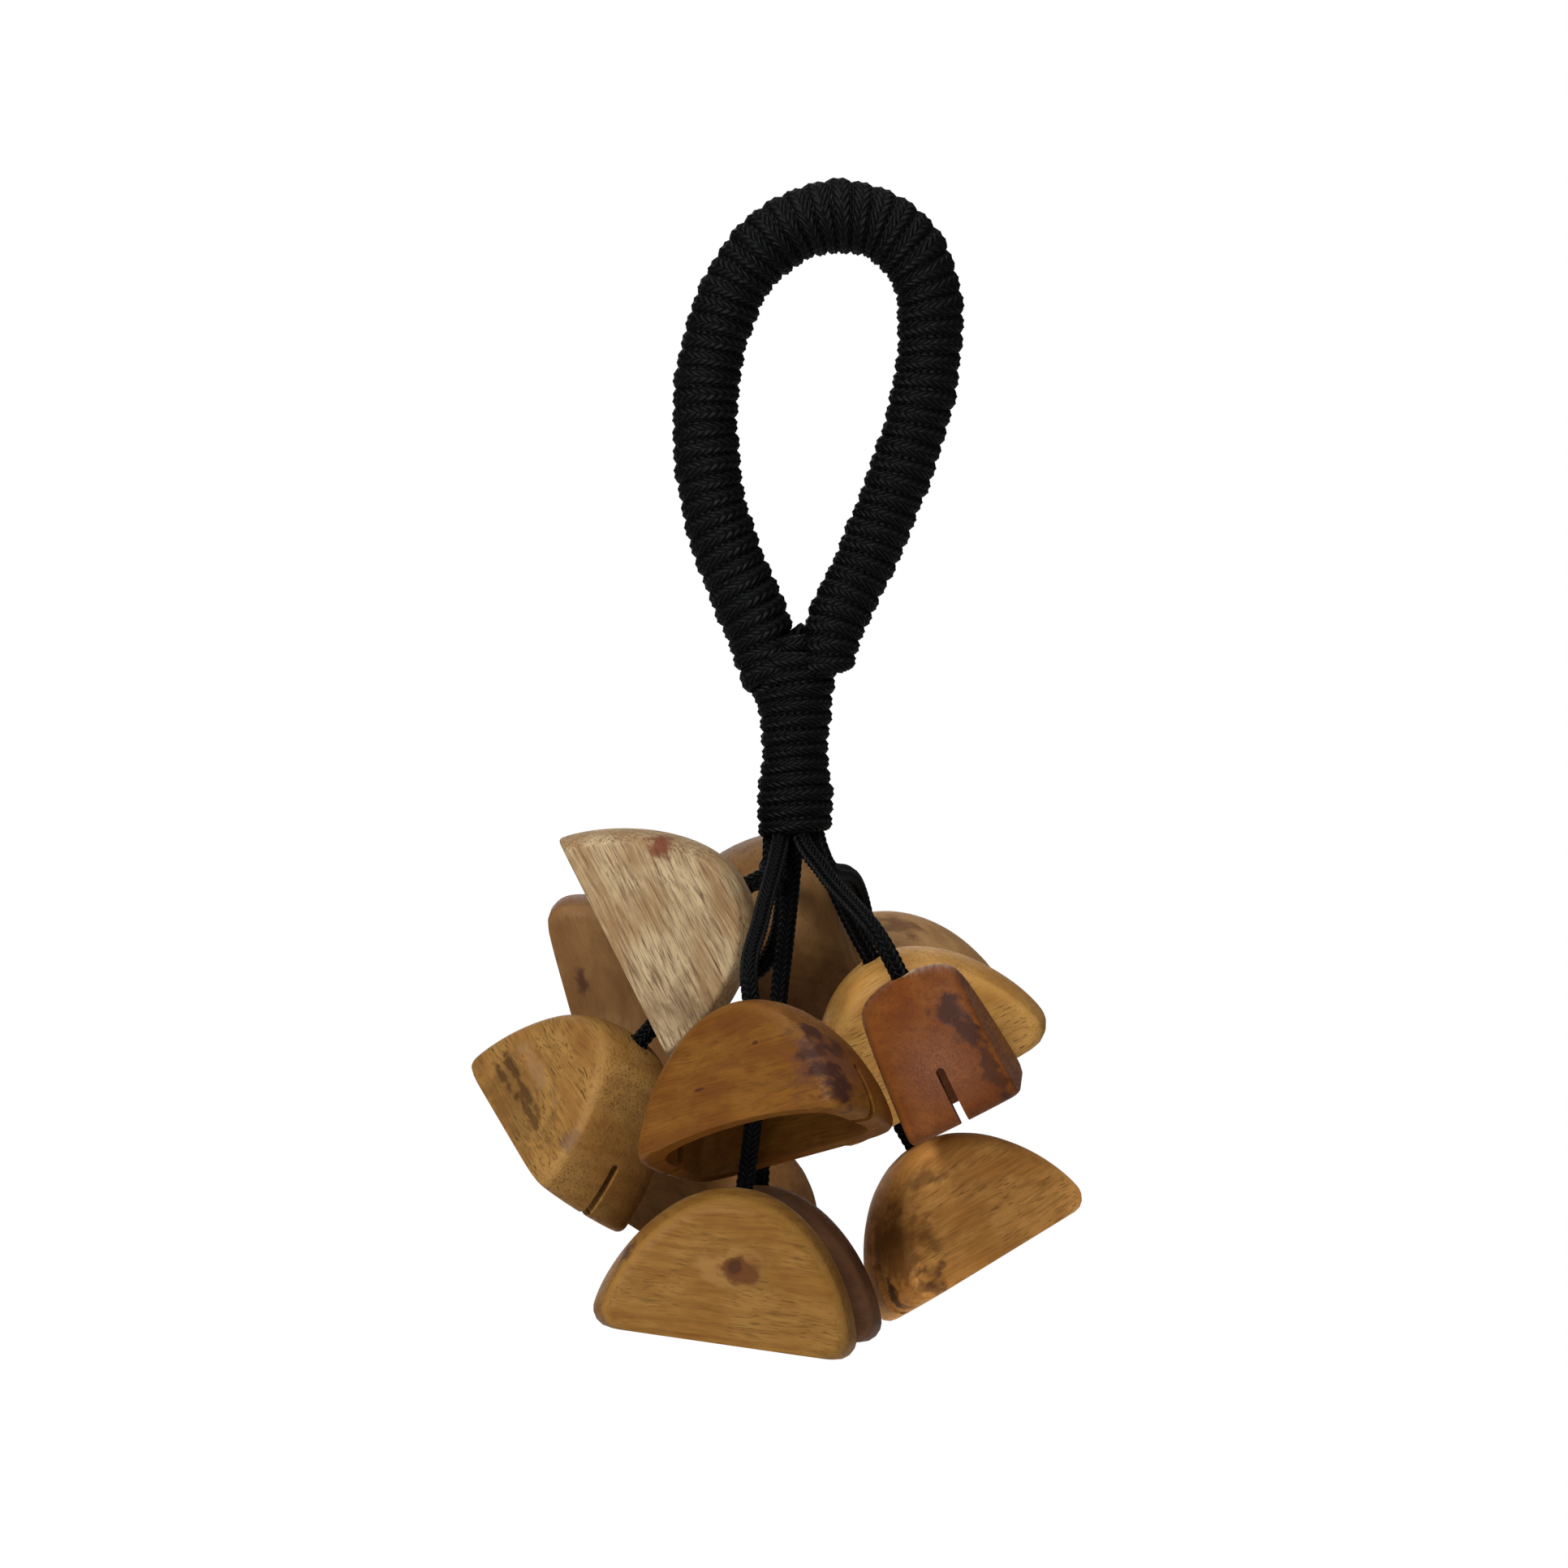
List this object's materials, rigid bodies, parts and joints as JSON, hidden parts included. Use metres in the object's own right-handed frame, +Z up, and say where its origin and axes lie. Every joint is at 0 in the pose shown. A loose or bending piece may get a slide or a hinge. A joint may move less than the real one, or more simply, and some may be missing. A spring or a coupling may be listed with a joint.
{
  "type": "hanging shell shaker",
  "caption": "Hand shaker: half-round hollow wooden shells knotted on black cords below a cord-wrapped hanging loop; they swing and knock together.",
  "frame": {"origin": "the inside top of the hand loop, where a hook or a peg carries it", "axes": "+Z up, -Y the front as pictured, +X to the right seen from the front"},
  "size_m": [0.1548, 0.2001, 0.2972],
  "materials": {
    "black_cord": "matt braided cord",
    "honey_wood": "oiled, soft sheen",
    "amber_wood": "oiled, soft sheen",
    "tan_wood": "oiled, soft sheen",
    "grey_tan_wood": "raw, slightly rough",
    "red_brown_wood": "oiled, soft sheen",
    "dark_brown_wood": "oiled, soft sheen"
  },
  "bodies": {
    "handle": {"loop_wrapping": "black_cord", "loop_core": "black_cord", "neck_binding": "black_cord", "neck_core": "black_cord"},
    "strand_left_front": {"cord_left_front_upper": "black_cord", "shell_left_front_upper": "grey_tan_wood", "knot_left_front_upper": "black_cord", "cord_left_front_lower": "black_cord", "shell_left_front_lower": "tan_wood", "knot_left_front_lower": "black_cord"},
    "strand_left": {"cord_left": "black_cord", "shell_left": "tan_wood", "knot_left": "black_cord"},
    "strand_back_left": {"cord_back_left_upper": "black_cord", "shell_back_left_upper": "tan_wood", "knot_back_left_upper": "black_cord", "cord_back_left_lower": "black_cord", "shell_back_left_lower": "tan_wood", "knot_back_left_lower": "black_cord"},
    "strand_back_right": {"cord_back_right": "black_cord", "shell_back_right": "tan_wood", "knot_back_right": "black_cord"},
    "strand_right": {"cord_right_upper": "black_cord", "shell_right_upper": "honey_wood", "knot_right_upper": "black_cord", "cord_right_lower": "black_cord", "shell_right_lower": "honey_wood", "knot_right_lower": "black_cord"},
    "strand_right_front": {"cord_right_front": "black_cord", "shell_right_front": "red_brown_wood", "knot_right_front": "black_cord"},
    "strand_front": {"cord_front_upper": "black_cord", "shell_front_upper": "amber_wood", "knot_front_upper": "black_cord", "cord_front_lower": "black_cord", "shell_front_lower": "honey_wood", "knot_front_lower": "black_cord"},
    "strand_middle": {"cord_middle": "black_cord", "shell_middle": "dark_brown_wood", "knot_middle": "black_cord"}
  },
  "joints": [
    {"name": "swing_left_front", "type": "hinge", "parent": "handle", "child": "strand_left_front", "pos_m": [-0.0172, -0.00021, -0.1471], "axis": [-0.2848, 0.9586, 0], "range_deg": [0, 60]},
    {"name": "swing_left", "type": "hinge", "parent": "handle", "child": "strand_left", "pos_m": [-0.01517, 0.00445, -0.1471], "axis": [0.6181, 0.7861, 0], "range_deg": [0, 60]},
    {"name": "swing_back_left", "type": "hinge", "parent": "handle", "child": "strand_back_left", "pos_m": [-0.01017, 0.00579, -0.1471], "axis": [0.9647, 0.2635, 0], "range_deg": [0, 5]},
    {"name": "swing_back_right", "type": "hinge", "parent": "handle", "child": "strand_back_right", "pos_m": [-0.00609, 0.00277, -0.1471], "axis": [0.7546, -0.6562, 0], "range_deg": [0, 60]},
    {"name": "swing_right", "type": "hinge", "parent": "handle", "child": "strand_right", "pos_m": [-0.00591, -0.0024, -0.1471], "axis": [0.3265, -0.9452, 0], "range_deg": [0, 60]},
    {"name": "swing_right_front", "type": "hinge", "parent": "handle", "child": "strand_right_front", "pos_m": [-0.00977, -0.0057, -0.1471], "axis": [-0.7067, -0.7075, 0], "range_deg": [0, 60]},
    {"name": "swing_front", "type": "hinge", "parent": "handle", "child": "strand_front", "pos_m": [-0.01485, -0.00471, -0.1471], "axis": [-0.9842, 0.1771, 0], "range_deg": [0, 60]},
    {"name": "swing_middle", "type": "hinge", "parent": "handle", "child": "strand_middle", "pos_m": [-0.0113, 0, -0.1471], "axis": [-0.2598, 0.9657, 0], "range_deg": [0, 3]}
  ]
}
